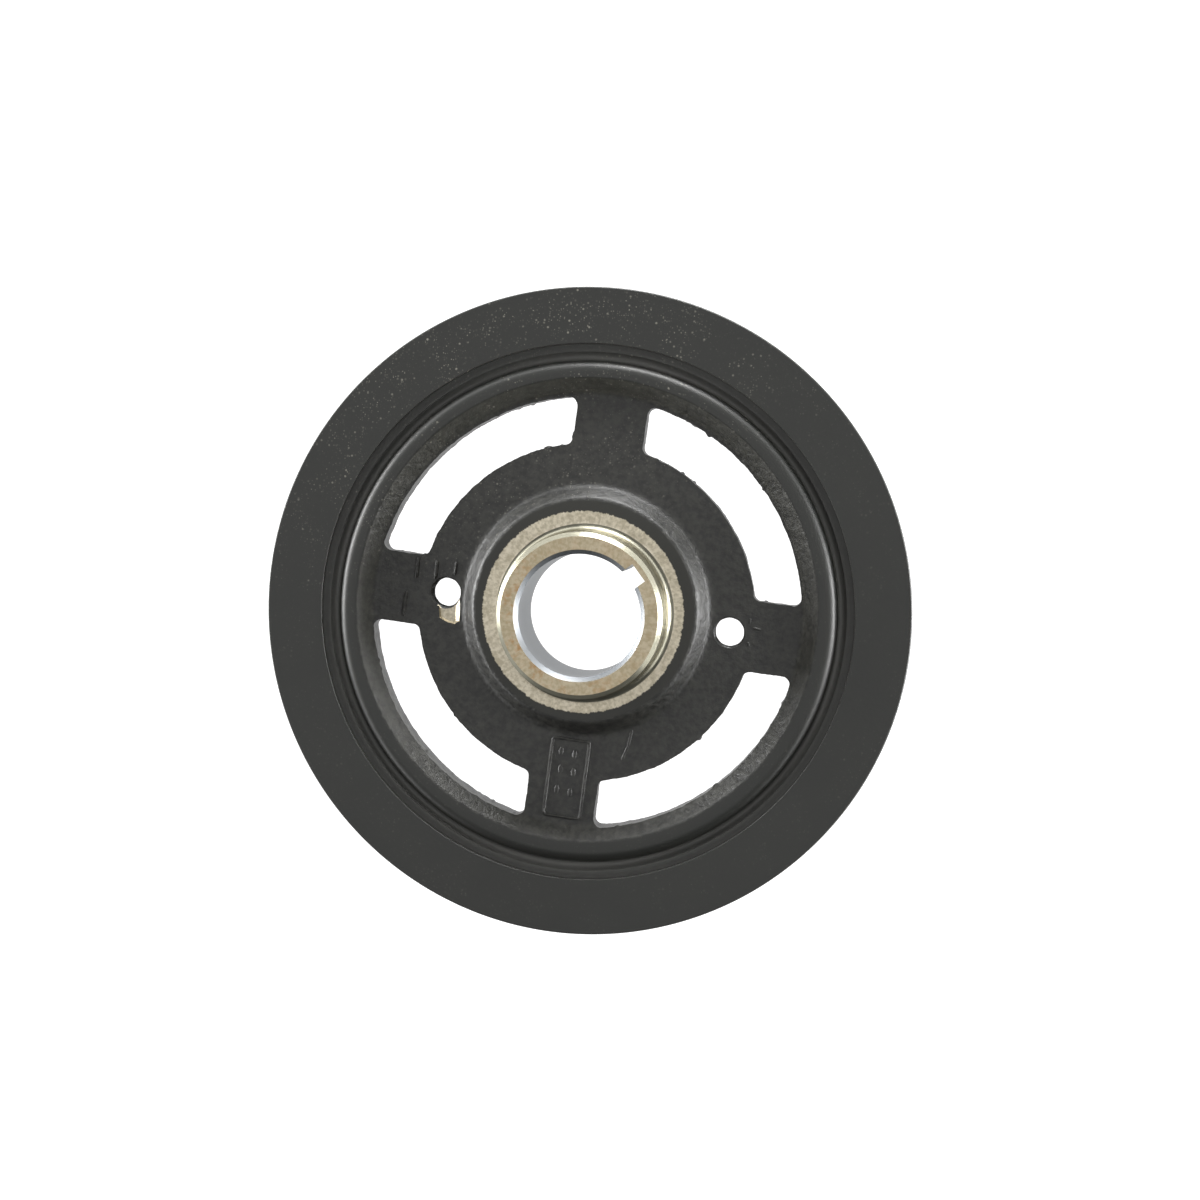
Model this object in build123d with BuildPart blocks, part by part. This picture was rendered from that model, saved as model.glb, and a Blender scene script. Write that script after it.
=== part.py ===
"""Harmonic balancer (crankshaft damper pulley): an iron hub, a rubber ring and a grooved inertia ring.

Millimetres, +Z along the bore towards the seal nose. The part lies on the front face of its
inertia ring at Z = 0, with the bore on the Z axis and the two puller holes on the X axis.
"""
from build123d import *
from math import cos, radians, sin
import os

# ---------------------------------------------------------------- inertia ring
RING_OD = 150.0
RING_THICKNESS = 13.0         # from the ring's bore to its flanges
RING_EDGE_RADIUS = 0.8        # outer corners of both flanges
RING_BORE_CHAMFER = 0.3
GROOVE_COUNT = 6              # PK poly-V belt profile
GROOVE_PITCH = 3.56
GROOVE_DEPTH = 2.9
GROOVE_MOUTH = 2.96           # width at the crests
GROOVE_ROOT = 0.85            # width at the root: 40 degree groove
CREST_DROP = 0.7              # belt crests below the flanges
FLANGE_LAND = 1.82            # full-diameter width of each flange
FLANGE_RUN_OUT = 0.5          # axial run of the bevel from a flange down to the crests
TIMING_NOTCH_WIDTH = 2.4
TIMING_NOTCH_DEPTH = 1.6

# ----------------------------------------------------------------- rubber ring
RUBBER_THICKNESS = 3.6
CROWN_HEIGHT = 1.4            # the bulge that locks hub, rubber and ring together axially
CROWN_MARGIN = 5.5            # straight length at each end of the crown, from the ring's faces
RUBBER_CLIMB = 20.0           # degrees that the rubber climbs each rounded end of the rim
RUBBER_VALLEY_WIDTH = 0.7     # from the rim's wall to the middle of the valley in the rubber
RUBBER_LIP = 1.0              # rubber beside the ring, below the ring's faces
RUBBER_LIP_WIDTH = 1.8

# ------------------------------------------------------------------- hub rim
RIM_SHOULDER_RADIUS = 3.0     # rounded outer corner at the rear
RIM_LAND_WIDTH = 4.7          # machined rear face, shoulder included
RIM_SLOPE_RUN = 3.5           # cast slope from the land down to the web and its windows
RIM_FRONT_RECESS = 2.0        # rim's front end behind the ring's front face
RIM_FRONT_WALL = 4.0
RIM_ROOT_WALL = 6.0
RIM_FRONT_RADIUS = 1.2
RIM_LAND_EDGE = 0.8           # inner edges of the rim's two end faces
RIM_ROOT_FILLET = 2.5

# ------------------------------------------------------------- web and windows
WEB_RECESS = 3.6              # rear of the web below the rim's rear face
WEB_THICKNESS = 5.0
WEB_OUTER_FILLET = 2.0
WINDOW_INNER_R = 39.35
WINDOW_CORNER_RADIUS = 1.8
SPOKE_WIDTH = 16.4
SPOKE_COUNT = 4

# ----------------------------------------------------------- boss, nose, bore
BOSS_TOP_OD = 52.0
BOSS_FLANK_RUN = 2.7
BOSS_EDGE_RADIUS = 0.6
BOSS_FOOT_FILLET = 1.2
FRONT_BOSS_OD = 46.0
FRONT_BOSS_RISE = 1.9
FRONT_BOSS_EDGE_RADIUS = 0.5
NOSE_OD = 38.0                # runs in the front crankshaft oil seal
NOSE_HEIGHT = 11.0
NOSE_CHAMFER = 1.0
NOSE_FOOT_FILLET = 2.3
BORE_D = 28.0
BORE_REAR_CHAMFER = 1.0
BORE_FRONT_CHAMFER = 0.5
KEYWAY_WIDTH = 4.8
KEYWAY_DEPTH = 2.8            # below the bore's wall
KEYWAY_ANGLE = 43.5           # from the X axis

# --------------------------------------------------------------- puller holes
PULLER_COUNT = 2
PULLER_CIRCLE = 67.0
PULLER_DRILL = 6.65           # M8 x 1.25 before tapping
PULLER_MOUTH = 8.0            # countersunk from both faces of the web

# ------------------------------------------------------------- derived places
RING_R = RING_OD / 2
RING_BORE_R = RING_R - RING_THICKNESS
RIM_R = RING_BORE_R - RUBBER_THICKNESS
CREST_R = RING_R - CREST_DROP
BELT_WIDTH = GROOVE_COUNT * GROOVE_PITCH
RING_WIDTH = BELT_WIDTH + 2 * (FLANGE_RUN_OUT + FLANGE_LAND)
RING_REAR_Z = RING_WIDTH
RING_MID_Z = RING_WIDTH / 2
RIM_REAR_Z = RING_REAR_Z
WEB_REAR_Z = RIM_REAR_Z - WEB_RECESS
WEB_FRONT_Z = WEB_REAR_Z - WEB_THICKNESS
FRONT_BOSS_Z = WEB_FRONT_Z - FRONT_BOSS_RISE
BOSS_FACE_Z = RIM_REAR_Z
NOSE_END_Z = BOSS_FACE_Z + NOSE_HEIGHT
BORE_R = BORE_D / 2
KEYWAY_FLOOR_R = BORE_R + KEYWAY_DEPTH
NOSE_R = NOSE_OD / 2
BOSS_TOP_R = BOSS_TOP_OD / 2
BOSS_FOOT_R = BOSS_TOP_R + BOSS_FLANK_RUN
FRONT_BOSS_R = FRONT_BOSS_OD / 2
RIM_SHOULDER_FOOT_Z = RIM_REAR_Z - RIM_SHOULDER_RADIUS
RIM_FRONT_FOOT_Z = RIM_FRONT_RECESS + RIM_FRONT_RADIUS
VALLEY_R = RIM_R + RUBBER_VALLEY_WIDTH
LAND_INNER_R = RIM_R - RIM_LAND_WIDTH
WINDOW_OUTER_R = LAND_INNER_R - RIM_SLOPE_RUN


def crown(radius):
    """The line shared by two bonded pieces, drawn from the rear end of the crown to the front."""
    rear = (radius, RING_REAR_Z - CROWN_MARGIN)
    top = (radius + CROWN_HEIGHT, RING_MID_Z)
    front = (radius, CROWN_MARGIN)
    return ThreePointArc(rear, top, front)


def corner(radius, height):
    """The corner of the profile being drawn that lies nearest a named radius and height."""
    return vertices().sort_by_distance(Vector(radius, height))[0]


# ------------------------------------------------------------------------ hub
with BuildPart() as hub:
    with BuildSketch(Plane.XZ):
        with BuildLine():
            front = Polyline(
                (RIM_R, CROWN_MARGIN),
                (RIM_R, RIM_FRONT_RECESS),
                (RIM_R - RIM_FRONT_WALL, RIM_FRONT_RECESS),
                (RIM_R - RIM_ROOT_WALL, WEB_FRONT_Z),
                (FRONT_BOSS_R, WEB_FRONT_Z),
                (FRONT_BOSS_R, FRONT_BOSS_Z),
                (BORE_R, FRONT_BOSS_Z),
            )
            bore_line = Line(front @ 1, (BORE_R, NOSE_END_Z))
            rear = Polyline(
                bore_line @ 1,
                (NOSE_R, NOSE_END_Z),
                (NOSE_R, BOSS_FACE_Z),
                (BOSS_TOP_R, BOSS_FACE_Z),
                (BOSS_FOOT_R, WEB_REAR_Z),
                (WINDOW_OUTER_R, WEB_REAR_Z),
                (LAND_INNER_R, RIM_REAR_Z),
                (RIM_R, RIM_REAR_Z),
                (RIM_R, RING_REAR_Z - CROWN_MARGIN),
            )
            crown(RIM_R)
        make_face()
        chamfer(corner(BORE_R, FRONT_BOSS_Z), BORE_FRONT_CHAMFER)
        chamfer(corner(BORE_R, NOSE_END_Z), BORE_REAR_CHAMFER)
        chamfer(corner(NOSE_R, NOSE_END_Z), NOSE_CHAMFER)
        fillet(corner(NOSE_R, BOSS_FACE_Z), NOSE_FOOT_FILLET)
        fillet(corner(BOSS_TOP_R, BOSS_FACE_Z), BOSS_EDGE_RADIUS)
        fillet(corner(BOSS_FOOT_R, WEB_REAR_Z), BOSS_FOOT_FILLET)
        fillet(corner(WINDOW_OUTER_R, WEB_REAR_Z), WEB_OUTER_FILLET)
        fillet(corner(LAND_INNER_R, RIM_REAR_Z), RIM_LAND_EDGE)
        fillet(corner(RIM_R, RIM_REAR_Z), RIM_SHOULDER_RADIUS)
        fillet(corner(RIM_R, RIM_FRONT_RECESS), RIM_FRONT_RADIUS)
        fillet(corner(RIM_R - RIM_FRONT_WALL, RIM_FRONT_RECESS), RIM_LAND_EDGE)
        fillet(corner(RIM_R - RIM_ROOT_WALL, WEB_FRONT_Z), RIM_ROOT_FILLET)
        fillet(corner(FRONT_BOSS_R, FRONT_BOSS_Z), FRONT_BOSS_EDGE_RADIUS)
    revolve(axis=Axis.Z)

    # Windows: what is left between them is the spokes, parallel-sided and on the X and Y axes
    with BuildSketch(Plane.XY.offset(WEB_FRONT_Z - RIM_ROOT_FILLET)):
        Circle(WINDOW_OUTER_R)
        Circle(WINDOW_INNER_R, mode=Mode.SUBTRACT)
        with PolarLocations(0, SPOKE_COUNT):
            Rectangle(RING_R, SPOKE_WIDTH, align=(Align.MIN, Align.CENTER), mode=Mode.SUBTRACT)
        fillet(vertices(), WINDOW_CORNER_RADIUS)
    extrude(amount=WEB_THICKNESS + RIM_ROOT_FILLET + WEB_RECESS, mode=Mode.SUBTRACT)

    # Keyway: straight through the bore
    with BuildSketch(Plane.XY.offset(FRONT_BOSS_Z).rotated((0, 0, KEYWAY_ANGLE))):
        Rectangle(KEYWAY_FLOOR_R, KEYWAY_WIDTH, align=(Align.MIN, Align.CENTER))
    extrude(amount=NOSE_END_Z - FRONT_BOSS_Z, mode=Mode.SUBTRACT)

    # Puller holes: through the web, countersunk from both of its faces
    web_rear = Plane.XY.offset(WEB_REAR_Z)
    web_front = Plane((0, 0, WEB_FRONT_Z), z_dir=(0, 0, -1))
    with Locations(web_rear, web_front):
        with PolarLocations(PULLER_CIRCLE / 2, PULLER_COUNT):
            CounterSinkHole(PULLER_DRILL / 2, PULLER_MOUTH / 2, depth=WEB_THICKNESS, counter_sink_angle=90)

# ---------------------------------------------------------------- damper rubber
with BuildPart() as damper_rubber:
    with BuildSketch(Plane.XZ):
        with BuildLine():
            inner = crown(RIM_R)
            outer = crown(RING_BORE_R)
            for face_z, out, foot_z, round_r, hub_end, ring_end in (
                (RING_REAR_Z, 1, RIM_SHOULDER_FOOT_Z, RIM_SHOULDER_RADIUS, inner @ 0, outer @ 0),
                (0.0, -1, RIM_FRONT_FOOT_Z, RIM_FRONT_RADIUS, inner @ 1, outer @ 1),
            ):
                # The rubber follows the rim's rounded end as far as it climbs it
                def on_round(angle):
                    rise = out * round_r * sin(radians(angle))
                    return RIM_R - round_r + round_r * cos(radians(angle)), foot_z + rise

                lip_edge = (RING_BORE_R - RUBBER_LIP_WIDTH, face_z - out * RUBBER_LIP)
                Line(hub_end, (RIM_R, foot_z))
                ThreePointArc((RIM_R, foot_z), on_round(RUBBER_CLIMB / 2), on_round(RUBBER_CLIMB))
                Bezier(on_round(RUBBER_CLIMB), (VALLEY_R, foot_z), lip_edge)
                Polyline(lip_edge, (RING_BORE_R, face_z - out * RUBBER_LIP), ring_end)
        make_face()
    revolve(axis=Axis.Z)

# ----------------------------------------------------------------- inertia ring
with BuildPart() as inertia_ring:
    with BuildSketch(Plane.XZ):
        with BuildLine():
            bonded = crown(RING_BORE_R)
            Polyline(
                bonded @ 1,
                (RING_BORE_R, 0),
                (RING_R, 0),
                (RING_R, RING_MID_Z - BELT_WIDTH / 2 - FLANGE_RUN_OUT),
                (CREST_R, RING_MID_Z - BELT_WIDTH / 2),
                (CREST_R, RING_MID_Z + BELT_WIDTH / 2),
                (RING_R, RING_MID_Z + BELT_WIDTH / 2 + FLANGE_RUN_OUT),
                (RING_R, RING_REAR_Z),
                (RING_BORE_R, RING_REAR_Z),
                bonded @ 0,
            )
        make_face()
        for face_z in (0, RING_REAR_Z):
            chamfer(corner(RING_BORE_R, face_z), RING_BORE_CHAMFER)
            fillet(corner(RING_R, face_z), RING_EDGE_RADIUS)
    revolve(axis=Axis.Z)

    # Poly-V belt grooves
    with BuildSketch(Plane.XZ):
        with Locations((CREST_R, RING_MID_Z)):
            with GridLocations(GROOVE_PITCH, GROOVE_PITCH, 1, GROOVE_COUNT):
                Polygon(
                    (0, GROOVE_MOUTH / 2),
                    (-GROOVE_DEPTH, GROOVE_ROOT / 2),
                    (-GROOVE_DEPTH, -GROOVE_ROOT / 2),
                    (0, -GROOVE_MOUTH / 2),
                    align=None,
                )
    revolve(axis=Axis.Z, mode=Mode.SUBTRACT)

    # Timing notch across the front flange, in line with the keyway
    with BuildSketch(Plane.XY.rotated((0, 0, KEYWAY_ANGLE))):
        with Locations((RING_R, 0)):
            Polygon(
                (0, TIMING_NOTCH_WIDTH / 2),
                (-TIMING_NOTCH_DEPTH, 0),
                (0, -TIMING_NOTCH_WIDTH / 2),
                align=None,
            )
    extrude(amount=RING_MID_Z - BELT_WIDTH / 2, mode=Mode.SUBTRACT)

# ------------------------------------------------------------------------ files
hub.part.label = "hub"
damper_rubber.part.label = "damper_rubber"
inertia_ring.part.label = "inertia_ring"

os.makedirs("parts", exist_ok=True)
export_step(hub.part, "parts/hub.step")
export_step(damper_rubber.part, "parts/damper_rubber.step")
export_step(inertia_ring.part, "parts/inertia_ring.step")
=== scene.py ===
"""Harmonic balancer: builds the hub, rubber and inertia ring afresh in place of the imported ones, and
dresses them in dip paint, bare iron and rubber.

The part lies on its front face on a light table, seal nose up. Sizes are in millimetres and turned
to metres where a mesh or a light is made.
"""
import math
import bmesh
import bpy
from mathutils import Matrix, Vector, noise


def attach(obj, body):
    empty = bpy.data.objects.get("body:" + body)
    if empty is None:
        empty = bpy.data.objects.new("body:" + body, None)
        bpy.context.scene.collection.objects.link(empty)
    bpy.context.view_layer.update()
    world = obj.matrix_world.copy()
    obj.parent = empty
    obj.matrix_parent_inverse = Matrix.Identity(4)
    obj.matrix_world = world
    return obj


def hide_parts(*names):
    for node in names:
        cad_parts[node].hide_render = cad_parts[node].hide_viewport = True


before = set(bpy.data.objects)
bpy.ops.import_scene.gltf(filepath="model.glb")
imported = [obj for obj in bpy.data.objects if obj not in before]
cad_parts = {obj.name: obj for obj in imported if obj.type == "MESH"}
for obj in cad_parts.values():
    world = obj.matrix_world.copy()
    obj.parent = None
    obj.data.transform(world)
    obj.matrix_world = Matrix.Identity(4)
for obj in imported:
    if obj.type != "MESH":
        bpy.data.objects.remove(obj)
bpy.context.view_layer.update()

MM = 0.001

# ------------------------------------------------------------- sizes, as in the three solids
REAR_Z = 26.0                 # rear faces of ring, rim land and boss
RING_R = 75.0
RING_BORE_R = 62.0
CREST_R = 74.3
BELT_LOW_Z = 2.32
BELT_HIGH_Z = 23.68
GROOVE_PITCH = 3.56
GROOVE_COUNT = 6
GROOVE_DEPTH = 2.9
GROOVE_MOUTH = 2.96
GROOVE_ROOT = 0.85
FLANGE_RUN_OUT = 0.5
NOTCH_WIDTH = 2.4
NOTCH_DEPTH = 1.6
LIP_R = 60.2                  # inner edge of the rubber's lip
LIP_DROP = 1.0
VALLEY_R = 59.1
CLIMB = math.radians(20)      # how far the rubber climbs the rim's rounded ends
RIM_R = 58.4
CROWN_HEIGHT = 1.4
CROWN_TOP_Z = 20.5
CROWN_BOTTOM_Z = 5.5
CROWN_MID_Z = 13.0
SHOULDER_R = 3.0
RIM_FRONT_Z = 2.0
RIM_FRONT_R = 1.2
RIM_FRONT_INNER_R = 54.4
RIM_ROOT_R = 52.4
RIM_ROOT_FILLET = 2.5
LAND_INNER_R = 53.7
LAND_EDGE_R = 0.8
SLOPE_FOOT_FILLET = 2.0
WEB_REAR_Z = 22.4
WEB_FRONT_Z = 17.4
WINDOW_OUTER_R = 50.2
WINDOW_INNER_R = 39.35
WINDOW_CORNER = 1.8
SPOKE_HALF = 8.2
BOSS_TOP_R = 26.0
FRONT_BOSS_R = 23.0
SEAT_Z = 15.5
SEAT_EDGE_R = 0.5
NOSE_R = 19.0
NOSE_END_Z = 37.0
NOSE_CHAMFER = 1.0
NOSE_FOOT_FILLET = 2.3
BORE_R = 14.0
BORE_REAR_CHAMFER = 1.0
BORE_FRONT_CHAMFER = 0.5
KEYWAY_WIDTH = 4.8
KEYWAY_FLOOR_R = 16.8
KEYWAY_ANGLE = math.radians(43.5)
PULLER_R = 33.5
THREAD_MINOR_R = 3.325
THREAD_MAJOR_R = 4.0
THREAD_PITCH = 1.25
QUARTERS = [math.radians(90 * k) for k in range(4)]

# --------------------------------------------- edges that are rounded otherwise in the solids
BOSS_EDGE_R = 1.6
BOSS_FOOT_R = 29.0
BOSS_FOOT_FILLET = 2.5
RING_EDGE_R = 0.5
RING_BORE_EDGE_R = 0.25
FLANGE_EDGE_R = 0.2           # sharp in the solids, as are the grooves' edges
GROOVE_EDGE_R = 0.12
GROOVE_ROOT_R = 0.25
THREAD_BREAK = 0.35           # the broken edge at a tapped hole's mouths
LIP_BEAD = 0.04               # how high the bead on the rubber's lip stands

# --------------------------------------------------------- how the sand casting came out
CAST_SHIFT = (-0.15, 0.55)    # its rough faces lie off the turned ones' axis
WINDOW_SHIFT = (-0.25, -0.2)
SWELLS = ((0.06, 3.4), (0.015, 1.4))         # height and width of the sand's unevenness
RAGGED = ((0.14, 2.3), (0.08, 0.8))          # the same along a window's edge
NIB_HEIGHT = 1.6                             # flash left on a window's edge, before it is thinned out
NIB_WIDTH = 1.9
NIB_SEED = Vector((7, 3, 5))
POCKET_TOP = [
    (-31.0, -1.2), (-30.1, -0.9), (-29.5, -6.3), (-30.4, -7.1), (-32.2, -6.9), (-34.2, -6.1), (-34.7, -3.6),
]
POCKET_FLOOR = [
    (-31.9, -2.0), (-31.0, -2.0), (-30.7, -6.3), (-30.9, -6.7), (-32.2, -6.6), (-34.0, -5.9), (-34.5, -3.7),
]
POCKET_DEPTH = 0.9
POCKET_LEFT, POCKET_RIGHT, POCKET_LOW, POCKET_HIGH = -35.0, -29.0, -7.4, -0.8

# ------------------------------------------------------------------------------ paint and dirt
CAST_PAINT, TURNED_PAINT, BARE, GROUND = range(4)
PAINT_IOR = 1.6               # bitumen paint
MASK_R = 23.4                 # paint starts here on the boss face
MASK_CENTRE = (-0.51, 0.16)   # the mask sat a little off the axis
DUST_SIDE = math.radians(115)
RUST_SIDE = math.radians(215)
TABLE_GLOW = 1.2
TABLE_GLOW_FAR = 0.3
GLOW_CENTRE = (-40.0, 70.0)
GLOW_R = 270.0

# ------------------------------------------------------------------------- how finely it is cut
TURN_STEPS = 400              # facets round the hub
RING_STEPS = 600              # round the ring and the rubber
ARC_STEPS = 6                 # facets on each fillet of the profile
CAST_STEP = 0.7               # longest run on the cast faces
EDGE_STEP = 0.3               # along a window's edge
PAST = 2.0                    # how far a cutter runs past what it cuts
THREAD_STEPS = 40             # facets round a thread, and a tenth of its pitch a level
SHARP = math.radians(28)      # edges sharper than this stay crisp
SHARP_CASTING = math.radians(32)


# ---------------------------------------------------------------------------------- small tools
def linear(hex_colour):
    """An sRGB hex colour as linear RGBA."""
    parts = [int(hex_colour[i:i + 2], 16) / 255 for i in (1, 3, 5)]
    return [p / 12.92 if p <= 0.04045 else ((p + 0.055) / 1.055) ** 2.4 for p in parts] + [1.0]


def per(size):
    """Texture scale that repeats every so many millimetres."""
    return 1 / (size * MM)


def add(tree, kind, inputs=None, **settings):
    """Adds a node with its settings; an input takes a number, a socket or another node's result."""
    made = tree.nodes.new("ShaderNode" + kind)
    for name, value in settings.items():
        setattr(made, name, value)
    for key, value in (inputs or {}).items():
        if isinstance(value, bpy.types.Node):
            value = next(result for result in value.outputs if result.enabled)
        if isinstance(value, bpy.types.NodeSocket):
            tree.links.new(value, made.inputs[key])
        else:
            made.inputs[key].default_value = value
    return made


def mesh_piece(name, points, faces):
    """A mesh object from points in millimetres, its faces turned outwards."""
    mesh = bpy.data.meshes.new(name)
    mesh.from_pydata([tuple(c * MM for c in p) for p in points], [], faces)
    shell = bmesh.new()
    shell.from_mesh(mesh)
    bmesh.ops.recalc_face_normals(shell, faces=shell.faces)
    shell.to_mesh(mesh)
    shell.free()
    piece = bpy.data.objects.new(name, mesh)
    bpy.context.scene.collection.objects.link(piece)
    return piece


def joined_by(piece, tool, operation):
    """Cuts the tool out of the piece, or melts it on, and uses the tool up."""
    step = piece.modifiers.new("joint", "BOOLEAN")
    step.object = tool
    step.operation = operation
    step.solver = "MANIFOLD"
    result = bpy.data.meshes.new_from_object(piece.evaluated_get(bpy.context.evaluated_depsgraph_get()))
    piece.modifiers.clear()
    piece.data = result
    bpy.data.objects.remove(tool)


def gathered(name, pieces):
    """Joins loose tool meshes into one object."""
    points, faces = [], []
    for piece in pieces:
        first = len(points)
        points += [tuple(c / MM for c in v.co) for v in piece.data.vertices]
        faces += [[first + v for v in f.vertices] for f in piece.data.polygons]
        bpy.data.objects.remove(piece)
    return mesh_piece(name, points, faces)


def turned(x, y, angle):
    """A point turned about the bore's axis."""
    c, s = math.cos(angle), math.sin(angle)
    return x * c - y * s, x * s + y * c


def spun(name, profile, steps):
    """A closed profile of (radius, height) spun about the bore's axis."""
    points = [(*turned(r, 0, 2 * math.pi * k / steps), z) for r, z in profile for k in range(steps)]
    faces = []
    for i in range(len(profile)):
        a, b = i * steps, (i + 1) % len(profile) * steps
        faces += [(a + k, b + k, b + (k + 1) % steps, a + (k + 1) % steps) for k in range(steps)]
    return mesh_piece(name, points, faces)


def prism(name, low, high):
    """A solid between two outlines of as many (x, y, z) points."""
    count = len(low)
    faces = [tuple(range(count))[::-1], tuple(range(count, 2 * count))]
    faces += [(k, (k + 1) % count, (k + 1) % count + count, k + count) for k in range(count)]
    return mesh_piece(name, low + high, faces)


def dressed(piece, finish):
    """Gives a piece one finish and smooth faces between its sharp edges."""
    piece.data.materials.clear()
    piece.data.materials.append(finish)
    for face in piece.data.polygons:
        face.use_smooth = True
    piece.data.set_sharp_from_angle(angle=SHARP)
    even = piece.modifiers.new("even_shading", "WEIGHTED_NORMAL")
    even.keep_sharp = True
    return piece


def crown(radius, rising):
    """The bulge that hub, rubber and ring share, as points between its two ends."""
    half = (CROWN_TOP_Z - CROWN_BOTTOM_Z) / 2
    swing = (half * half + CROWN_HEIGHT * CROWN_HEIGHT) / (2 * CROWN_HEIGHT)
    points = []
    for k in range(1, 12):
        z = CROWN_BOTTOM_Z + k * half / 6
        rise = math.sqrt(swing ** 2 - (z - CROWN_MID_Z) ** 2) - swing + CROWN_HEIGHT
        points.append(Vector((radius + rise, z)))
    return points if rising else points[::-1]


# ----------------------------------------------------------------------------------- the casting
def rounded(corners, facets=ARC_STEPS):
    """Profile points from (radius, height, fillet) corners, a fillet's facets as asked."""
    points = []
    for i, (r, z, fillet) in enumerate(corners):
        here = Vector((r, z))
        if not fillet:
            points.append(here)
            continue
        before = (Vector(corners[i - 1][:2]) - here).normalized()
        after = (Vector(corners[(i + 1) % len(corners)][:2]) - here).normalized()
        half = before.angle(after) / 2
        centre = here + (before + after).normalized() * fillet / math.sin(half)
        start = here + before * fillet / math.tan(half) - centre
        end = here + after * fillet / math.tan(half) - centre
        sweep = math.atan2(start.x * end.y - start.y * end.x, start.dot(end))
        for k in range(facets + 1):
            points.append(centre + Matrix.Rotation(sweep * k / facets, 2) @ start)
    return points


def is_cast(r, z):
    """True where the hub is as cast, not turned."""
    rear = BOSS_TOP_R - BOSS_EDGE_R < r < LAND_INNER_R + 0.3 and SEAT_Z + 0.01 < z < REAR_Z - 0.02
    front = FRONT_BOSS_R - 0.01 < r < RIM_FRONT_INNER_R + 0.1 and RIM_FRONT_Z + 0.3 < z < WEB_REAR_Z
    return rear or front


def hub_profile():
    """The hub's section, with its cast runs diced for the sand's unevenness."""
    corners = [
        (RIM_R, CROWN_BOTTOM_Z, 0),
        (RIM_R, RIM_FRONT_Z, RIM_FRONT_R),
        (RIM_FRONT_INNER_R, RIM_FRONT_Z, LAND_EDGE_R),
        (RIM_ROOT_R, WEB_FRONT_Z, RIM_ROOT_FILLET),
        (FRONT_BOSS_R, WEB_FRONT_Z, 0),
        (FRONT_BOSS_R, SEAT_Z, SEAT_EDGE_R),
        (BORE_R + BORE_FRONT_CHAMFER, SEAT_Z, 0),
        (BORE_R, SEAT_Z + BORE_FRONT_CHAMFER, 0),
        (BORE_R, NOSE_END_Z - BORE_REAR_CHAMFER, 0),
        (BORE_R + BORE_REAR_CHAMFER, NOSE_END_Z, 0),
        (NOSE_R - NOSE_CHAMFER, NOSE_END_Z, 0),
        (NOSE_R, NOSE_END_Z - NOSE_CHAMFER, 0),
        (NOSE_R, REAR_Z, NOSE_FOOT_FILLET),
        (BOSS_TOP_R, REAR_Z, BOSS_EDGE_R),
        (BOSS_FOOT_R, WEB_REAR_Z, BOSS_FOOT_FILLET),
        (WINDOW_OUTER_R, WEB_REAR_Z, SLOPE_FOOT_FILLET),
        (LAND_INNER_R, REAR_Z, LAND_EDGE_R),
        (RIM_R, REAR_Z, SHOULDER_R),
        (RIM_R, CROWN_TOP_Z, 0),
    ]
    points = rounded(corners) + crown(RIM_R, rising=False)
    diced = []
    for here, after in zip(points, points[1:] + points[:1]):
        middle = (here + after) / 2
        steps = math.ceil((after - here).length / CAST_STEP) if is_cast(*middle) else 1
        diced += [here.lerp(after, k / steps) for k in range(steps)]
    return diced


def hub_blank():
    """The hub turned from its profile, before windows and holes, with sand-cast unevenness."""
    profile = hub_profile()
    points, faces = [], []
    for i, (r, z) in enumerate(profile):
        before, after = profile[i - 1], profile[(i + 1) % len(profile)]
        along = (after - before).normalized()
        out = Vector((-along.y, along.x)) if is_cast(r, z) else Vector((0, 0))
        rear = BOSS_TOP_R - BOSS_EDGE_R < r < LAND_INNER_R + 0.7 and z > WEB_REAR_Z - 0.1
        shift = CAST_SHIFT if rear else (0, 0)
        for k in range(TURN_STEPS):
            a = 2 * math.pi * k / TURN_STEPS
            place = Vector((math.cos(a) * r, math.sin(a) * r, z))
            swell = sum(height * noise.noise(place / width) for height, width in SWELLS)
            nr, nz = r + out.x * swell, z + out.y * swell
            points.append((math.cos(a) * nr + shift[0], math.sin(a) * nr + shift[1], nz))
    rings = len(profile)
    for i in range(rings):
        for k in range(TURN_STEPS):
            a, b = i * TURN_STEPS, (i + 1) % rings * TURN_STEPS
            m = (k + 1) % TURN_STEPS
            faces.append((a + k, b + k, b + m, a + m))
    return mesh_piece("hub_casting", points, faces)


def window_outline():
    """One window's outline between the spokes on +X and +Y, as evenly spaced points."""
    corner = SPOKE_HALF + WINDOW_CORNER
    outer = Vector((math.sqrt((WINDOW_OUTER_R - WINDOW_CORNER) ** 2 - corner ** 2), corner))
    inner = Vector((math.sqrt((WINDOW_INNER_R + WINDOW_CORNER) ** 2 - corner ** 2), corner))
    half = []

    def arc(centre, radius, start, end):
        steps = max(2, round(abs(end - start) * radius / EDGE_STEP))
        for k in range(steps):
            a = start + (end - start) * k / steps
            half.append(centre + Vector((math.cos(a), math.sin(a))) * radius)

    origin, diagonal = Vector((0, 0)), math.pi / 4
    arc(origin, WINDOW_INNER_R, diagonal, math.atan2(inner.y, inner.x))
    arc(inner, WINDOW_CORNER, math.atan2(inner.y, inner.x) + math.pi, 1.5 * math.pi)
    steps = round((outer.x - inner.x) / EDGE_STEP)
    half += [Vector((inner.x + (outer.x - inner.x) * k / steps, SPOKE_HALF)) for k in range(steps)]
    arc(outer, WINDOW_CORNER, -math.pi / 2, math.atan2(outer.y, outer.x))
    arc(origin, WINDOW_OUTER_R, math.atan2(outer.y, outer.x), diagonal)
    mirrored = [Vector((p.y, p.x)) for p in reversed(half)]
    return half + mirrored


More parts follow.
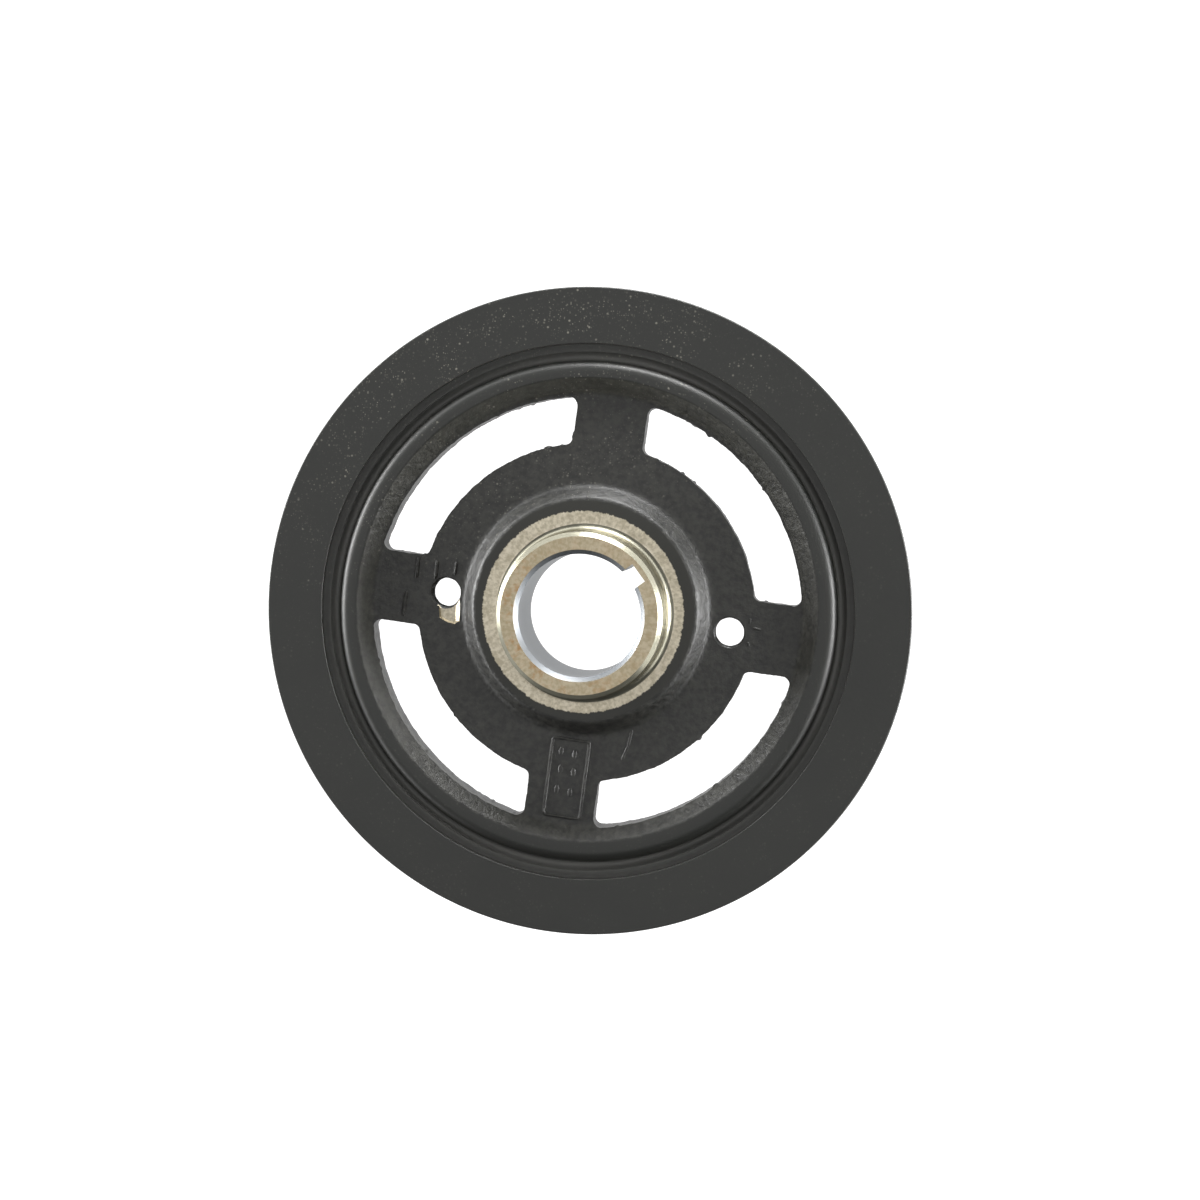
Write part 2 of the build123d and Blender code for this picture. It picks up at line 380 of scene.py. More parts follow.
def window_cutter(turn):
    """A window's core with the ragged edge that the sand and the flash leave."""
    outline = [Vector(turned(p.x, p.y, turn)) for p in window_outline()]
    levels = [WEB_FRONT_Z - 2.5, WEB_FRONT_Z, 18.6, 20.0, 21.3, WEB_REAR_Z, WEB_REAR_Z + PAST + 2.0]
    points, count = [], len(outline)
    for z in levels:
        for i, here in enumerate(outline):
            along = (outline[(i + 1) % count] - outline[i - 1]).normalized()
            out = Vector((along.y, -along.x))
            place = Vector((here.x, here.y, z))
            ragged = sum(height * noise.noise(place / width) for height, width in RAGGED)
            nib = max(0.0, noise.noise(place / NIB_WIDTH + NIB_SEED) - 0.5) * NIB_HEIGHT
            here = here + out * (ragged - nib)
            points.append((here.x + WINDOW_SHIFT[0], here.y + WINDOW_SHIFT[1], z))
    faces = [tuple(range(count))[::-1], tuple(range(count * (len(levels) - 1), count * len(levels)))]
    for level in range(len(levels) - 1):
        for i in range(count):
            a, b, j = level * count, (level + 1) * count, (i + 1) % count
            faces.append((a + i, a + j, b + j, b + i))
    return mesh_piece("window_core", points, faces)


def keyway_cutter():
    """The broached keyway, from the bore out to its floor."""
    low, high, half = SEAT_Z - PAST, NOSE_END_Z + PAST, KEYWAY_WIDTH / 2
    inner = BORE_R - 1.3
    section = [(inner, -half), (KEYWAY_FLOOR_R, -half), (KEYWAY_FLOOR_R, half), (inner, half)]
    section = [turned(x, y, KEYWAY_ANGLE) for x, y in section]
    return prism("keyway_broach", [(x, y, low) for x, y in section], [(x, y, high) for x, y in section])


def pocket_cutter():
    """The shallow pocket beside the puller hole on -X, with sloping sides."""
    rise = PAST / POCKET_DEPTH
    top = [
        (x + (x - floor_x) * rise, y + (y - floor_y) * rise, WEB_REAR_Z + PAST)
        for (x, y), (floor_x, floor_y) in zip(POCKET_TOP, POCKET_FLOOR)
    ]
    return prism("pocket", [(x, y, WEB_REAR_Z - POCKET_DEPTH) for x, y in POCKET_FLOOR], top)


def tap_cutter(side):
    """An M8 thread with its mouths broken at both faces of the web."""
    around, rise = THREAD_STEPS, THREAD_PITCH / 10
    low, high = WEB_FRONT_Z - PAST, WEB_REAR_Z + PAST
    levels = round((high - low) / rise)
    points = []
    for level in range(levels + 1):
        z = low + rise * level
        inside = min(WEB_REAR_Z - z, z - WEB_FRONT_Z)
        mouth = THREAD_MINOR_R + THREAD_BREAK - max(0.0, inside)
        for k in range(around):
            phase = (z / THREAD_PITCH - k / around) % 1
            depth = 1 - abs(2 * phase - 1)
            thread = THREAD_MINOR_R + (THREAD_MAJOR_R - THREAD_MINOR_R) * depth
            r = max(mouth, thread) if inside > THREAD_BREAK else THREAD_MINOR_R + THREAD_BREAK
            a = 2 * math.pi * k / around
            points.append((side * PULLER_R + r * math.cos(a), r * math.sin(a), z))
    faces = [tuple(range(around))[::-1], tuple(range(levels * around, (levels + 1) * around))]
    for level in range(levels):
        for k in range(around):
            a, b, j = level * around, (level + 1) * around, (k + 1) % around
            faces.append((a + k, a + j, b + j, b + k))
    return mesh_piece("tap", points, faces)


def raised_stroke(path, width, height, closed=False):
    """A raised foundry mark with sloping sides, along a path on the web's rear face."""
    section = [(-0.5, -0.6), (-0.47, 0.25), (-0.3, 0.75), (0, 1.0), (0.3, 0.75), (0.47, 0.25), (0.5, -0.6)]
    path = [Vector(p) for p in path]
    points, faces, count, across = [], [], len(path), len(section)
    for i, here in enumerate(path):
        before = path[i - 1] if closed or i else here
        after = path[(i + 1) % count] if closed or i < count - 1 else here
        along = (after - before).normalized()
        side = Vector((along.y, -along.x))
        end = 0.55 if not closed and i in (0, count - 1) else 1.0
        for offset, rise in section:
            spot = here + side * offset * width * end
            points.append((spot.x, spot.y, WEB_REAR_Z + rise * height * (end if rise > 0 else 1)))
    for i in range(count if closed else count - 1):
        a, b = i * across, (i + 1) % count * across
        for k in range(across):
            j = (k + 1) % across
            faces.append((a + k, b + k, b + j, a + j))
    if not closed:
        faces += [tuple(range(across)), tuple(range((count - 1) * across, count * across))[::-1]]
    return mesh_piece("raised_mark", points, faces)


def casting_marks():
    """Plain foundry marks: tally bars on one spoke, and an empty date frame on the next."""
    marks = []
    strokes = [
        ((-41.0, 7.2), (-40.9, 2.4), 1.1, 0.55),
        ((-36.5, 7.1), (-36.4, 2.8), 1.1, 0.55),
        ((-31.9, 7.4), (-31.9, 4.3), 0.9, 0.45),
        ((-42.8, -0.9), (-42.9, -6.8), 1.1, 0.5),
        ((14.2, -25.7), (13.8, -29.6), 0.7, 0.2),
        ((13.8, -29.6), (12.8, -33.0), 0.7, 0.2),
        ((37.9, 3.9), (37.8, 2.7), 0.6, 0.2),
        ((38.8, 1.8), (40.6, 1.6), 0.6, 0.2),
        ((38.0, -1.6), (38.4, -2.5), 0.6, 0.18),
    ]
    for start, end, width, height in strokes:
        start, end = Vector(start), Vector(end)
        marks.append(raised_stroke([start.lerp(end, k / 8) for k in range(9)], width, height))
    left, right, top, bottom, corner = -3.9, 4.8, -30.0, -48.3, 0.8
    frame_path = []
    for cx, cy, start in (
        (right - corner, top - corner, 0),
        (left + corner, top - corner, 90),
        (left + corner, bottom + corner, 180),
        (right - corner, bottom + corner, 270),
    ):
        for k in range(4):
            a = math.radians(start + 30 * k)
            frame_path.append((cx + corner * math.cos(a), cy + corner * math.sin(a)))
    marks.append(raised_stroke(frame_path, 0.8, 0.35, closed=True))
    for x, y in ((-1.6, -33.0), (1.6, -33.4), (-1.2, -37.2), (1.9, -37.6), (-1.5, -42.0), (1.7, -42.4)):
        marks.append(raised_stroke([(x, y + 0.9), (x, y), (x, y - 0.9)], 1.3, 0.35))
    return gathered("raised_marks", marks)


def finish_of(centre, normal):
    """Which finish a face of the hub has, from where it lies."""
    x, y, z = (c / MM for c in centre)
    r = math.hypot(x, y)
    if r < NOSE_R + NOSE_FOOT_FILLET - 0.05 and z > SEAT_Z + 0.05:
        flat_end = abs(normal.z) > 0.99
        return BARE if flat_end else GROUND
    if abs(normal.z) > 0.99 and r < BOSS_TOP_R and (z > REAR_Z - 0.05 or z < SEAT_Z + 0.05):
        return BARE
    in_pocket = POCKET_LEFT < x < POCKET_RIGHT and POCKET_LOW < y < POCKET_HIGH
    sunk = WEB_REAR_Z - POCKET_DEPTH - 0.05 < z < WEB_REAR_Z - 0.12
    if in_pocket and sunk and math.hypot(x + PULLER_R, y) > THREAD_MAJOR_R - 0.5:
        return BARE
    if r > LAND_INNER_R + 0.25 and (z > WEB_REAR_Z or z < RIM_FRONT_Z + 0.6):
        return TURNED_PAINT
    return CAST_PAINT


def turned_normal(face, spot):
    """The true normal of a turned face at one of its corners, or None on the cast faces."""
    centre = Vector(face.center) / MM
    r, z = math.hypot(centre.x, centre.y), centre.z
    nose = r < BOSS_TOP_R - 1 and z > SEAT_Z - 0.05
    rim = r > LAND_INNER_R + 1.2 and (z > WEB_REAR_Z - 2 or z < RIM_FRONT_Z + 0.1)
    if not (nose or rim):
        return None
    radial = Vector((centre.x, centre.y, 0)) / r
    if abs(face.normal.cross(Vector((0, 0, 1))).dot(radial)) > 0.2:
        return face.normal
    spot = Vector(spot) / MM
    spot_r = math.hypot(spot.x, spot.y)
    here = Vector((spot.x, spot.y, 0)) / spot_r
    foot = Vector((NOSE_R + NOSE_FOOT_FILLET, REAR_Z + NOSE_FOOT_FILLET))
    shoulder = Vector((RIM_R - SHOULDER_R, REAR_Z - SHOULDER_R))
    for middle, radius, way, inside in (
        (foot, NOSE_FOOT_FILLET, -1, r < foot.x and z < foot.y),
        (shoulder, SHOULDER_R, 1, r > shoulder.x and z > shoulder.y),
    ):
        arm = Vector((spot_r, spot.z)) - middle
        if inside and abs(arm.length - radius) < 0.03:
            return (here * arm.x * way + Vector((0, 0, arm.y * way))).normalized()
    return (here * face.normal.dot(radial) + Vector((0, 0, face.normal.z))).normalized()


def hub_casting(finishes):
    """The finished hub: blank, marks, windows, keyway and tapped holes, with a finish on each face."""
    piece = hub_blank()
    joined_by(piece, casting_marks(), "UNION")
    for turn in QUARTERS:
        joined_by(piece, window_cutter(turn), "DIFFERENCE")
    joined_by(piece, keyway_cutter(), "DIFFERENCE")
    joined_by(piece, pocket_cutter(), "DIFFERENCE")
    for side in (1, -1):
        joined_by(piece, tap_cutter(side), "DIFFERENCE")
    mesh = piece.data
    mesh.materials.clear()
    for finish in finishes:
        mesh.materials.append(finish)
    for face in mesh.polygons:
        face.material_index = finish_of(face.center, face.normal)
        face.use_smooth = True
    mesh.set_sharp_from_angle(angle=SHARP_CASTING)
    normals = [corner.vector.copy() for corner in mesh.corner_normals]
    for face in mesh.polygons:
        for loop in face.loop_indices:
            true = turned_normal(face, mesh.vertices[mesh.loops[loop].vertex_index].co)
            if true:
                normals[loop] = true
    mesh.normals_split_custom_set(normals)
    return piece


# -------------------------------------------------------------------------- the ring and the rubber
def inertia_ring(finish):
    """The grooved ring, with its timing notch in line with the keyway."""
    corners = [
        (RING_BORE_R, 0, RING_BORE_EDGE_R),
        (RING_R, 0, RING_EDGE_R),
        (RING_R, BELT_LOW_Z - FLANGE_RUN_OUT, FLANGE_EDGE_R),
        (CREST_R, BELT_LOW_Z, 0),
    ]
    for k in range(GROOVE_COUNT):
        middle = CROWN_MID_Z + (k - (GROOVE_COUNT - 1) / 2) * GROOVE_PITCH
        corners += [
            (CREST_R, middle - GROOVE_MOUTH / 2, GROOVE_EDGE_R),
            (CREST_R - GROOVE_DEPTH, middle - GROOVE_ROOT / 2, GROOVE_ROOT_R),
            (CREST_R - GROOVE_DEPTH, middle + GROOVE_ROOT / 2, GROOVE_ROOT_R),
            (CREST_R, middle + GROOVE_MOUTH / 2, GROOVE_EDGE_R),
        ]
    corners += [
        (CREST_R, BELT_HIGH_Z, 0),
        (RING_R, BELT_HIGH_Z + FLANGE_RUN_OUT, FLANGE_EDGE_R),
        (RING_R, REAR_Z, RING_EDGE_R),
        (RING_BORE_R, REAR_Z, RING_BORE_EDGE_R),
        (RING_BORE_R, CROWN_TOP_Z, 0),
    ]
    profile = rounded(corners, 3) + crown(RING_BORE_R, rising=False) + [Vector((RING_BORE_R, CROWN_BOTTOM_Z))]
    piece = spun("inertia_ring_turned", profile, RING_STEPS)
    mouth_r = RING_R + 1
    half = (NOTCH_DEPTH + 1) * NOTCH_WIDTH / NOTCH_DEPTH / 2
    wedge = [(RING_R - NOTCH_DEPTH, 0), (mouth_r, -half), (mouth_r, half)]
    wedge = [turned(x, y, KEYWAY_ANGLE) for x, y in wedge]
    notch = prism("notch", [(x, y, -1) for x, y in wedge], [(x, y, BELT_LOW_Z) for x, y in wedge])
    joined_by(piece, notch, "DIFFERENCE")
    return dressed(piece, finish)


def rubber_face(face_z, out, foot_z, round_r):
    """The rubber's open face from the hub to the ring: a valley, then a lip."""
    climb = Vector((RIM_R - round_r + round_r * math.cos(CLIMB), foot_z + out * round_r * math.sin(CLIMB)))
    valley, lip = Vector((VALLEY_R, foot_z)), Vector((LIP_R, face_z - out * LIP_DROP))
    points = [Vector((RIM_R, foot_z))]
    for k in range(13):
        t = k / 12
        points.append(climb * (1 - t) ** 2 + valley * 2 * t * (1 - t) + lip * t * t)
    for past_lip, bead in ((0.25, LIP_BEAD), (0.75, LIP_BEAD), (1.0, 0), (1.4, 0)):
        points.append(Vector((LIP_R + past_lip, lip.y + out * bead)))
    return points + [Vector((RING_BORE_R, lip.y))]


def damper_rubber(finish):
    """The rubber ring, bonded to hub and inertia ring along their shared bulge."""
    rear = rubber_face(REAR_Z, 1, REAR_Z - SHOULDER_R, SHOULDER_R)
    front = rubber_face(0, -1, RIM_FRONT_Z + RIM_FRONT_R, RIM_FRONT_R)
    profile = [Vector((RIM_R, CROWN_BOTTOM_Z))] + crown(RIM_R, rising=True) + [Vector((RIM_R, CROWN_TOP_Z))]
    profile += rear + [Vector((RING_BORE_R, CROWN_TOP_Z))] + crown(RING_BORE_R, rising=False)
    profile += [Vector((RING_BORE_R, CROWN_BOTTOM_Z))] + front[::-1]
    return dressed(spun("damper_rubber_moulded", profile, RING_STEPS), finish)


# ------------------------------------------------------------------------------------- finishes
def new_finish(name):
    """An empty material, its node tree and the object coordinates in it."""
    finish = bpy.data.materials.new(name)
    finish.use_nodes = True
    finish.node_tree.nodes.clear()
    return finish, finish.node_tree, add(finish.node_tree, "TexCoord").outputs["Object"]


def polar(tree, place, centre_x=0.0, centre_y=0.0):
    """Distance from the bore's axis, angle round it and height; the centre is in millimetres."""
    moved = add(tree, "VectorMath", {0: place, 1: (-centre_x * MM, -centre_y * MM, 0.0)}, operation="ADD")
    parts = add(tree, "SeparateXYZ", {0: moved})
    flat = add(tree, "CombineXYZ", {0: parts.outputs["X"], 1: parts.outputs["Y"]})
    radius = add(tree, "VectorMath", {0: flat}, operation="LENGTH").outputs["Value"]
    angle = add(tree, "Math", {0: parts.outputs["Y"], 1: parts.outputs["X"]}, operation="ARCTAN2")
    return radius, angle, parts.outputs["Z"]


def dusted(tree, place, colour, amount):
    """Pale dust over a colour: specks of 0.2 to 0.5 mm in drifts, thickest round the spoke on +Y."""
    _, angle, _ = polar(tree, place)
    turn = add(tree, "Math", {0: angle, 1: DUST_SIDE}, operation="SUBTRACT")
    lean = add(tree, "Math", {0: turn}, operation="COSINE")
    near = {"Value": lean, "From Min": 0.2, "From Max": 1.0, "To Min": 0.12, "To Max": 1.0}
    near = add(tree, "MapRange", near, interpolation_type="SMOOTHSTEP")
    drift = add(tree, "TexNoise", {"Vector": place, "Scale": per(9.0), "Detail": 3.0})
    drift = {"Value": drift, "From Min": 0.42, "From Max": 0.6, "To Min": 0.15, "To Max": 1.0}
    drift = add(tree, "MapRange", drift, interpolation_type="SMOOTHSTEP")
    thick = add(tree, "Math", {0: near, 1: drift}, operation="MULTIPLY")
    for spacing, rarity in ((0.5, 4.0), (0.95, 7.0)):
        specks = add(tree, "TexVoronoi", {"Vector": place, "Scale": per(spacing)})
        lot = add(tree, "SeparateXYZ", {0: specks.outputs["Color"]}).outputs["X"]
        chosen = add(tree, "Math", {0: lot, 1: rarity}, operation="POWER")
        spot = {
            "Value": specks.outputs["Distance"], "From Min": 0.1, "From Max": 0.38,
            "To Min": amount, "To Max": 0.0,
        }
        spot = add(tree, "MapRange", spot, interpolation_type="SMOOTHSTEP")
        share = add(tree, "Math", {0: spot, 1: chosen}, operation="MULTIPLY")
        share = add(tree, "Math", {0: share, 1: thick}, operation="MULTIPLY")
        colour = add(tree, "Mix", {0: share, 6: colour, 7: linear("#8f8c81")}, data_type="RGBA")
    return colour


def dip_paint_on_casting():
    """Black dip paint over sand-cast iron: the eye sees sand grit under a dull sheen."""
    finish, tree, place = new_finish("dip_paint_on_casting")
    # Sand grains of about 0.3 mm, drawn coarser to show
    grit = add(tree, "TexNoise", {"Vector": place, "Scale": per(1.2), "Detail": 3.0, "Roughness": 0.6})
    lumps = add(tree, "TexNoise", {"Vector": place, "Scale": per(2.6)})
    tone = add(tree, "Mix", {0: 0.3, 2: grit, 3: lumps}, data_type="FLOAT")
    tone = {"Value": tone, "From Min": 0.35, "From Max": 0.65}
    tone = add(tree, "MapRange", tone, interpolation_type="SMOOTHSTEP")
    colour = add(tree, "Mix", {0: tone, 6: linear("#121210"), 7: linear("#292925")}, data_type="RGBA")
    rough = {"Value": grit, "From Min": 0.3, "From Max": 0.75, "To Min": 0.42, "To Max": 0.52}
    rough = add(tree, "MapRange", rough, interpolation_type="SMOOTHSTEP")
    height = add(tree, "Math", {0: lumps, 1: 0.8, 2: grit}, operation="MULTIPLY_ADD")
    shader = add(tree, "BsdfPrincipled", {
        "Base Color": dusted(tree, place, colour, 0.5),
        "IOR": PAINT_IOR,
        "Roughness": rough,
        "Normal": add(tree, "Bump", {"Height": height, "Strength": 1.0, "Distance": 0.17 * MM}),
    })
    add(tree, "OutputMaterial", {"Surface": shader})
    return finish


def dip_paint_on_turned_iron():
    """Black dip paint over turned iron: satin, with the cutter's feed just showing through."""
    finish, tree, place = new_finish("dip_paint_on_turned_iron")
    cloud = add(tree, "TexNoise", {"Vector": place, "Scale": per(9.0), "Detail": 3.0})
    colour = add(tree, "Mix", {0: cloud, 6: linear("#141512"), 7: linear("#1b1c18")}, data_type="RGBA")
    radius, _, level = polar(tree, place)
    feed = add(tree, "CombineXYZ", {0: radius, 1: level})
    # A feed of 0.2 mm, drawn coarser to show
    rings = add(tree, "TexNoise", {"Vector": feed, "Scale": per(0.7), "Detail": 1.0})
    # Thick paint dries to an orange peel about 1 mm across
    orange_peel = add(tree, "TexNoise", {"Vector": place, "Scale": per(1.0)})
    height = add(tree, "Math", {0: rings, 1: 0.3, 2: orange_peel}, operation="MULTIPLY_ADD")
    shader = add(tree, "BsdfPrincipled", {
        "Base Color": dusted(tree, place, colour, 0.8),
        "IOR": PAINT_IOR,
        "Roughness": 0.42,
        "Normal": add(tree, "Bump", {"Height": height, "Strength": 0.25, "Distance": 0.1 * MM}),
    })
    add(tree, "OutputMaterial", {"Surface": shader})
    return finish


def bare_turned_iron():
    """Turned iron left bare beside the nose: tarnished, with short radial streaks and rust tints."""
    finish, tree, place = new_finish("bare_turned_iron")
    radius, angle, level = polar(tree, place)
    # Handling streaks run outwards, so the pattern is drawn out along the radius
    round_way = add(tree, "Math", {0: angle, 1: 20 * MM}, operation="MULTIPLY")
    out_way = add(tree, "Math", {0: radius, 1: 0.18}, operation="MULTIPLY")
    streak_place = add(tree, "CombineXYZ", {0: round_way, 1: out_way, 2: level})
    streaks = add(tree, "TexNoise", {"Vector": streak_place, "Scale": per(0.45)})
    blotch = add(tree, "TexNoise", {"Vector": place, "Scale": per(3.2), "Detail": 3.0, "Roughness": 0.6})
    grain = add(tree, "TexNoise", {"Vector": place, "Scale": per(0.8)})
    tone = add(tree, "Mix", {0: 0.6, 2: streaks, 3: blotch}, data_type="FLOAT")
    tone = add(tree, "Mix", {0: 0.5, 2: tone, 3: grain}, data_type="FLOAT")
    tone = {"Value": tone, "From Min": 0.35, "From Max": 0.65}
    tone = add(tree, "MapRange", tone, interpolation_type="SMOOTHSTEP")
    colour = add(tree, "Mix", {0: tone, 6: linear("#b9b09a"), 7: linear("#e0d7c3")}, data_type="RGBA")

    # The nose's end is browner, and rust has begun on its lower left
    at_end = {"Value": level, "From Min": (REAR_Z + 1) * MM, "From Max": (NOSE_END_Z - 1) * MM}
    at_end = add(tree, "MapRange", at_end, interpolation_type="SMOOTHSTEP")
    tint = add(tree, "Math", {0: at_end, 1: 0.45}, operation="MULTIPLY")
    colour = add(tree, "Mix", {0: tint, 6: colour, 7: linear("#ac9970")}, data_type="RGBA")
    turn = add(tree, "Math", {0: angle, 1: RUST_SIDE}, operation="SUBTRACT")
    lean = add(tree, "Math", {0: turn}, operation="COSINE")
    lean = {"Value": lean, "From Min": -0.4, "From Max": 1.0, "To Min": 0.12, "To Max": 0.6}
    lean = add(tree, "MapRange", lean, interpolation_type="SMOOTHSTEP")
    rust = add(tree, "TexNoise", {"Vector": place, "Scale": per(2.4), "Detail": 4.0, "Roughness": 0.65})
    rust = {"Value": rust, "From Min": 0.45, "From Max": 0.7}
    rust = add(tree, "MapRange", rust, interpolation_type="SMOOTHSTEP")
    rust = add(tree, "Math", {0: rust, 1: at_end}, operation="MULTIPLY")
    rust = add(tree, "Math", {0: rust, 1: lean}, operation="MULTIPLY")
    colour = add(tree, "Mix", {0: rust, 6: colour, 7: linear("#b07a3c")}, data_type="RGBA")

    # Paint has crept in from the boss's edge as far as the seal's mask let it
    mask_r, _, _ = polar(tree, place, *MASK_CENTRE)
    teeth = {"Vector": streak_place, "Scale": per(0.8), "Detail": 3.0, "Roughness": 0.75}
    teeth = add(tree, "TexNoise", teeth)
    edge = add(tree, "Math", {0: teeth, 1: -1.2 * MM, 2: mask_r}, operation="MULTIPLY_ADD")
    paint = {"Value": edge, "From Min": (MASK_R - 0.8) * MM, "From Max": (MASK_R - 0.5) * MM}
    paint = add(tree, "MapRange", paint, interpolation_type="SMOOTHSTEP")
    on_boss = {
        "Value": radius, "From Min": BOSS_TOP_R * MM, "From Max": BOSS_FOOT_R * MM,
        "To Min": 1.0, "To Max": 0.0,
    }
    on_boss = add(tree, "MapRange", on_boss, interpolation_type="SMOOTHSTEP")
    paint = add(tree, "Math", {0: paint, 1: on_boss}, operation="MULTIPLY")
    shader = add(tree, "BsdfPrincipled", {
        "Base Color": add(tree, "Mix", {0: paint, 6: colour, 7: linear("#252521")}, data_type="RGBA"),
        "Metallic": add(tree, "Math", {0: 1.0, 1: paint}, operation="SUBTRACT"),
        "Roughness": add(tree, "Math", {0: blotch, 1: 0.14, 2: 0.34}, operation="MULTIPLY_ADD"),
        "Normal": add(tree, "Bump", {"Height": grain, "Strength": 0.3, "Distance": 0.04 * MM}),
    })
    add(tree, "OutputMaterial", {"Surface": shader})
    return finish


def ground_nose():
    """The ground seal nose and the bored hole: bright, with a grey-green cast and faint rings."""
    finish, tree, place = new_finish("ground_nose")
    radius, _, level = polar(tree, place)
    # Grinding marks of about 0.05 mm, drawn coarser to show
    rings = add(tree, "TexNoise", {"Vector": add(tree, "CombineXYZ", {2: level}), "Scale": per(0.5)})
    film = add(tree, "TexNoise", {"Vector": place, "Scale": per(4.0), "Detail": 3.0})
    outside = add(tree, "Mix", {0: film, 6: linear("#7b796c"), 7: linear("#898779")}, data_type="RGBA")
    # The bore is bored, not ground: rougher and bluer than the nose outside
    outward = {"Value": radius, "From Min": (BORE_R + 0.2) * MM, "From Max": KEYWAY_FLOOR_R * MM}
    outward = add(tree, "MapRange", outward, interpolation_type="SMOOTHSTEP")
    rough = {"Value": film, "From Min": 0.3, "From Max": 0.7, "To Min": 0.29, "To Max": 0.34}
    rough = add(tree, "MapRange", rough, interpolation_type="SMOOTHSTEP")
    shader = add(tree, "BsdfPrincipled", {
        "Base Color": add(tree, "Mix", {0: outward, 6: linear("#7d8083"), 7: outside}, data_type="RGBA"),
        "Metallic": 1.0,
        "Roughness": add(tree, "Mix", {0: outward, 2: 0.5, 3: rough}, data_type="FLOAT"),
        "Normal": add(tree, "Bump", {"Height": rings, "Strength": 0.15, "Distance": 0.03 * MM}),
    })
    add(tree, "OutputMaterial", {"Surface": shader})
    return finish


def bonded_rubber():
    """Moulded rubber bonded between hub and ring: matt black with a dusty bloom."""
    finish, tree, place = new_finish("bonded_rubber")
    bloom = add(tree, "TexNoise", {"Vector": place, "Scale": per(2.2), "Detail": 3.0})
    colour = add(tree, "Mix", {0: bloom, 6: linear("#282826"), 7: linear("#363633")}, data_type="RGBA")
    # Paler towards the valley beside the hub: partly dust, partly painted light that offsets the shade in the
    # valley
    radius, _, _ = polar(tree, place)
    dust_and_painted_light = {
        "Value": radius, "From Min": VALLEY_R * MM, "From Max": LIP_R * MM,
        "To Min": 0.7, "To Max": 0.0,
    }
    dust_and_painted_light = add(tree, "MapRange", dust_and_painted_light, interpolation_type="SMOOTHSTEP")
    colour = add(tree, "Mix", {0: dust_and_painted_light, 6: colour, 7: linear("#5a5a57")}, data_type="RGBA")
    shader = add(tree, "BsdfPrincipled", {
        "Base Color": dusted(tree, place, colour, 0.4),
        "Roughness": 0.5,
        "Normal": add(tree, "Bump", {"Height": bloom, "Strength": 0.4, "Distance": 0.15 * MM}),
    })
    add(tree, "OutputMaterial", {"Surface": shader})
    return finish


def light_table():
    """Pale acrylic, lit from below under and round the part."""
    finish, tree, place = new_finish("light_table")
    radius, _, _ = polar(tree, place, *GLOW_CENTRE)
    glow = {
        "Value": radius, "From Min": GLOW_R * MM, "From Max": 1.5 * GLOW_R * MM,
        "To Min": TABLE_GLOW, "To Max": TABLE_GLOW_FAR,
    }
    shader = add(tree, "BsdfPrincipled", {
        "Base Color": linear("#8c8c8a"),
        "Roughness": 0.6,
        "Emission Color": linear("#ffffff"),
        "Emission Strength": add(tree, "MapRange", glow, interpolation_type="SMOOTHSTEP"),
    })
    add(tree, "OutputMaterial", {"Surface": shader})
    return finish


# ------------------------------------------------------------------------------------ the stage
def lay_floor():
    """The table that the part lies on."""
    lines = (-20000.0, -1500.0, -400.0, 0.0, 400.0, 1500.0, 20000.0)
    count = len(lines)
    corners = [(x, y, 0) for y in lines for x in lines]
    starts = [row * count + k for row in range(count - 1) for k in range(count - 1)]
    floor = mesh_piece("light_table", corners, [(a, a + 1, a + count + 1, a + count) for a in starts])
    floor.data.materials.append(light_table())


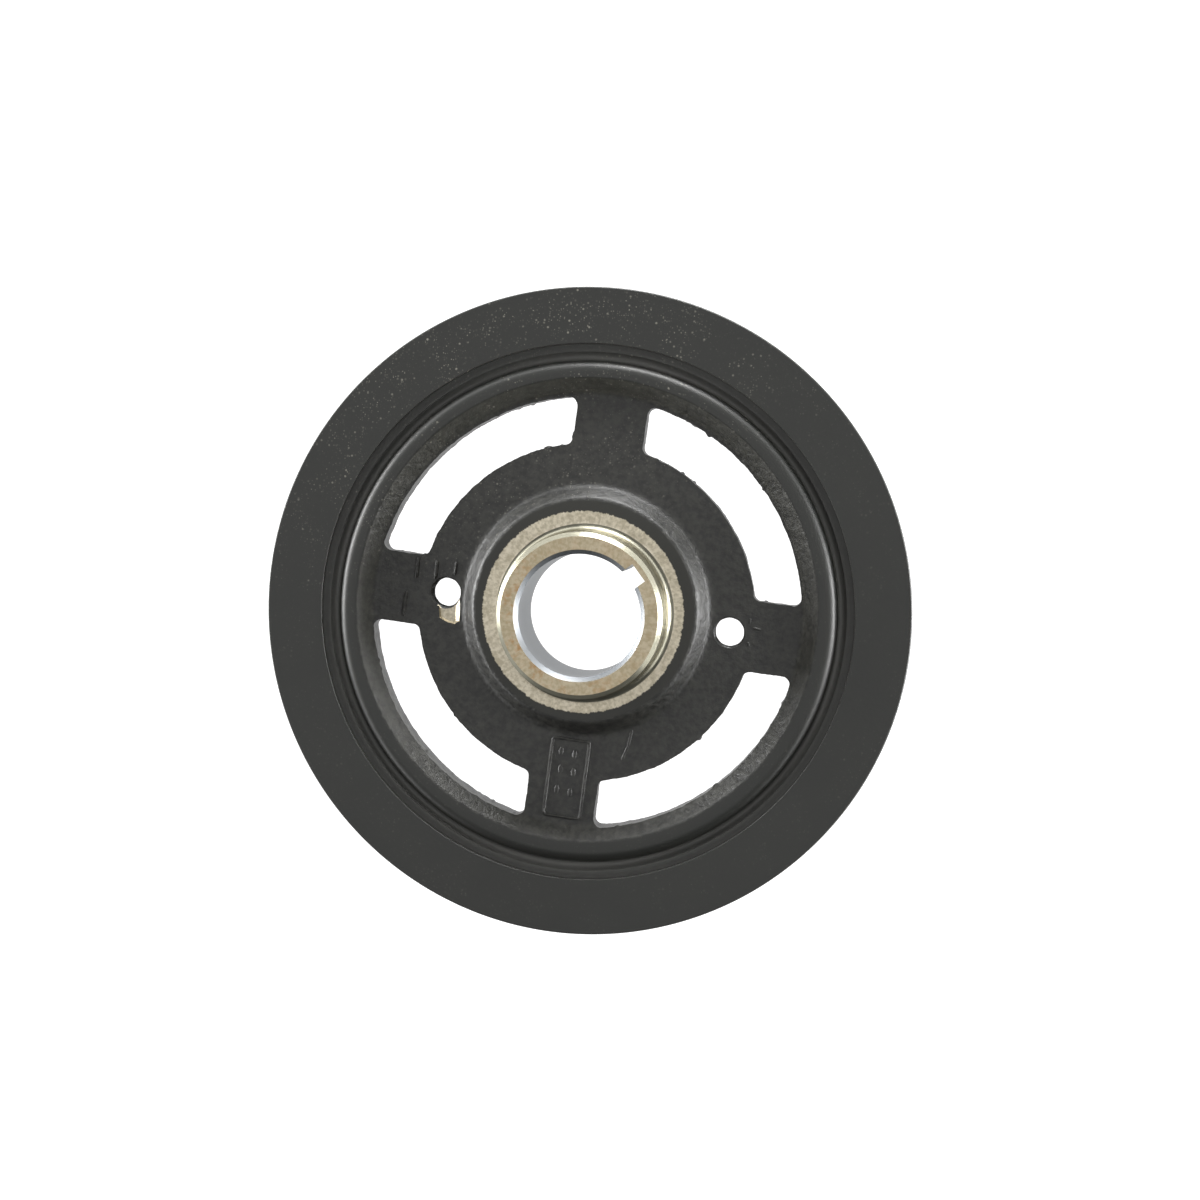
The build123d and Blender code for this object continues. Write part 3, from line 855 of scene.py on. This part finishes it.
def soft_light(name, azimuth, height, distance, width, depth, power):
    """A softbox that faces the part, azimuth from +X."""
    lamp = bpy.data.lights.new(name, "AREA")
    lamp.shape = "RECTANGLE"
    lamp.size = width * MM
    lamp.size_y = depth * MM
    lamp.energy = power
    light = bpy.data.objects.new(name, lamp)
    a, e = math.radians(azimuth), math.radians(height)
    away = Vector((math.cos(a) * math.cos(e), math.sin(a) * math.cos(e), math.sin(e)))
    light.location = away * distance * MM
    light.rotation_euler = away.to_track_quat("Z", "Y").to_euler()
    bpy.context.scene.collection.objects.link(light)


def light_the_part():
    """Three softboxes at the left, top and right, dim fills between them, one overhead, and a dim room."""
    soft_light("softbox_left", 177, 8, 900, 640, 260, 17.5)
    soft_light("softbox_top", 87, 12, 900, 470, 320, 10.5)
    soft_light("softbox_right", 6, 12, 900, 400, 320, 11.5)
    soft_light("fill_upper_left", 132, 12, 900, 700, 350, 3.2)
    soft_light("fill_upper_right", 47, 12, 900, 700, 350, 2.6)
    soft_light("fill_lower_left", 220, 12, 900, 450, 350, 1.8)
    soft_light("fill_lower_right", 332, 12, 900, 350, 350, 1.6)
    soft_light("softbox_overhead", 60, 88, 1500, 2000, 2000, 8.2)
    world = bpy.data.worlds.new("room")
    world.use_nodes = True
    world.node_tree.nodes["Background"].inputs["Color"].default_value = linear("#ffffff")
    world.node_tree.nodes["Background"].inputs["Strength"].default_value = 0.1
    bpy.context.scene.world = world


def set_camera():
    """The camera stands almost straight above the nose."""
    place = Vector((58.3675, 37.9595, 529.225)) * MM
    right = Vector((0.98431622, 0.13198839, -0.11704977))
    up = Vector((-0.13884602, 0.98892278, -0.05247396))
    back = Vector((0.10882723, 0.06790287, 0.99173879))
    camera = bpy.data.objects.new("camera", bpy.data.cameras.new("camera"))
    camera.matrix_world = Matrix.Translation(place) @ Matrix((right, up, back)).transposed().to_4x4()
    camera.data.lens = 66.003
    camera.data.sensor_width = 36.0
    camera.data.clip_start = 0.01
    bpy.context.scene.collection.objects.link(camera)
    bpy.context.scene.camera = camera


# ------------------------------------------------------------------------------------- assembly
set_camera()
light_the_part()
lay_floor()
bpy.context.scene.view_settings.view_transform = "Standard"

turned_paint = dip_paint_on_turned_iron()
for piece, node_name in (
    (hub_casting([dip_paint_on_casting(), turned_paint, bare_turned_iron(), ground_nose()]), "hub"),
    (damper_rubber(bonded_rubber()), "damper_rubber"),
    (inertia_ring(turned_paint), "inertia_ring"),
):
    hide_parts(node_name)
    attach(piece, "root")
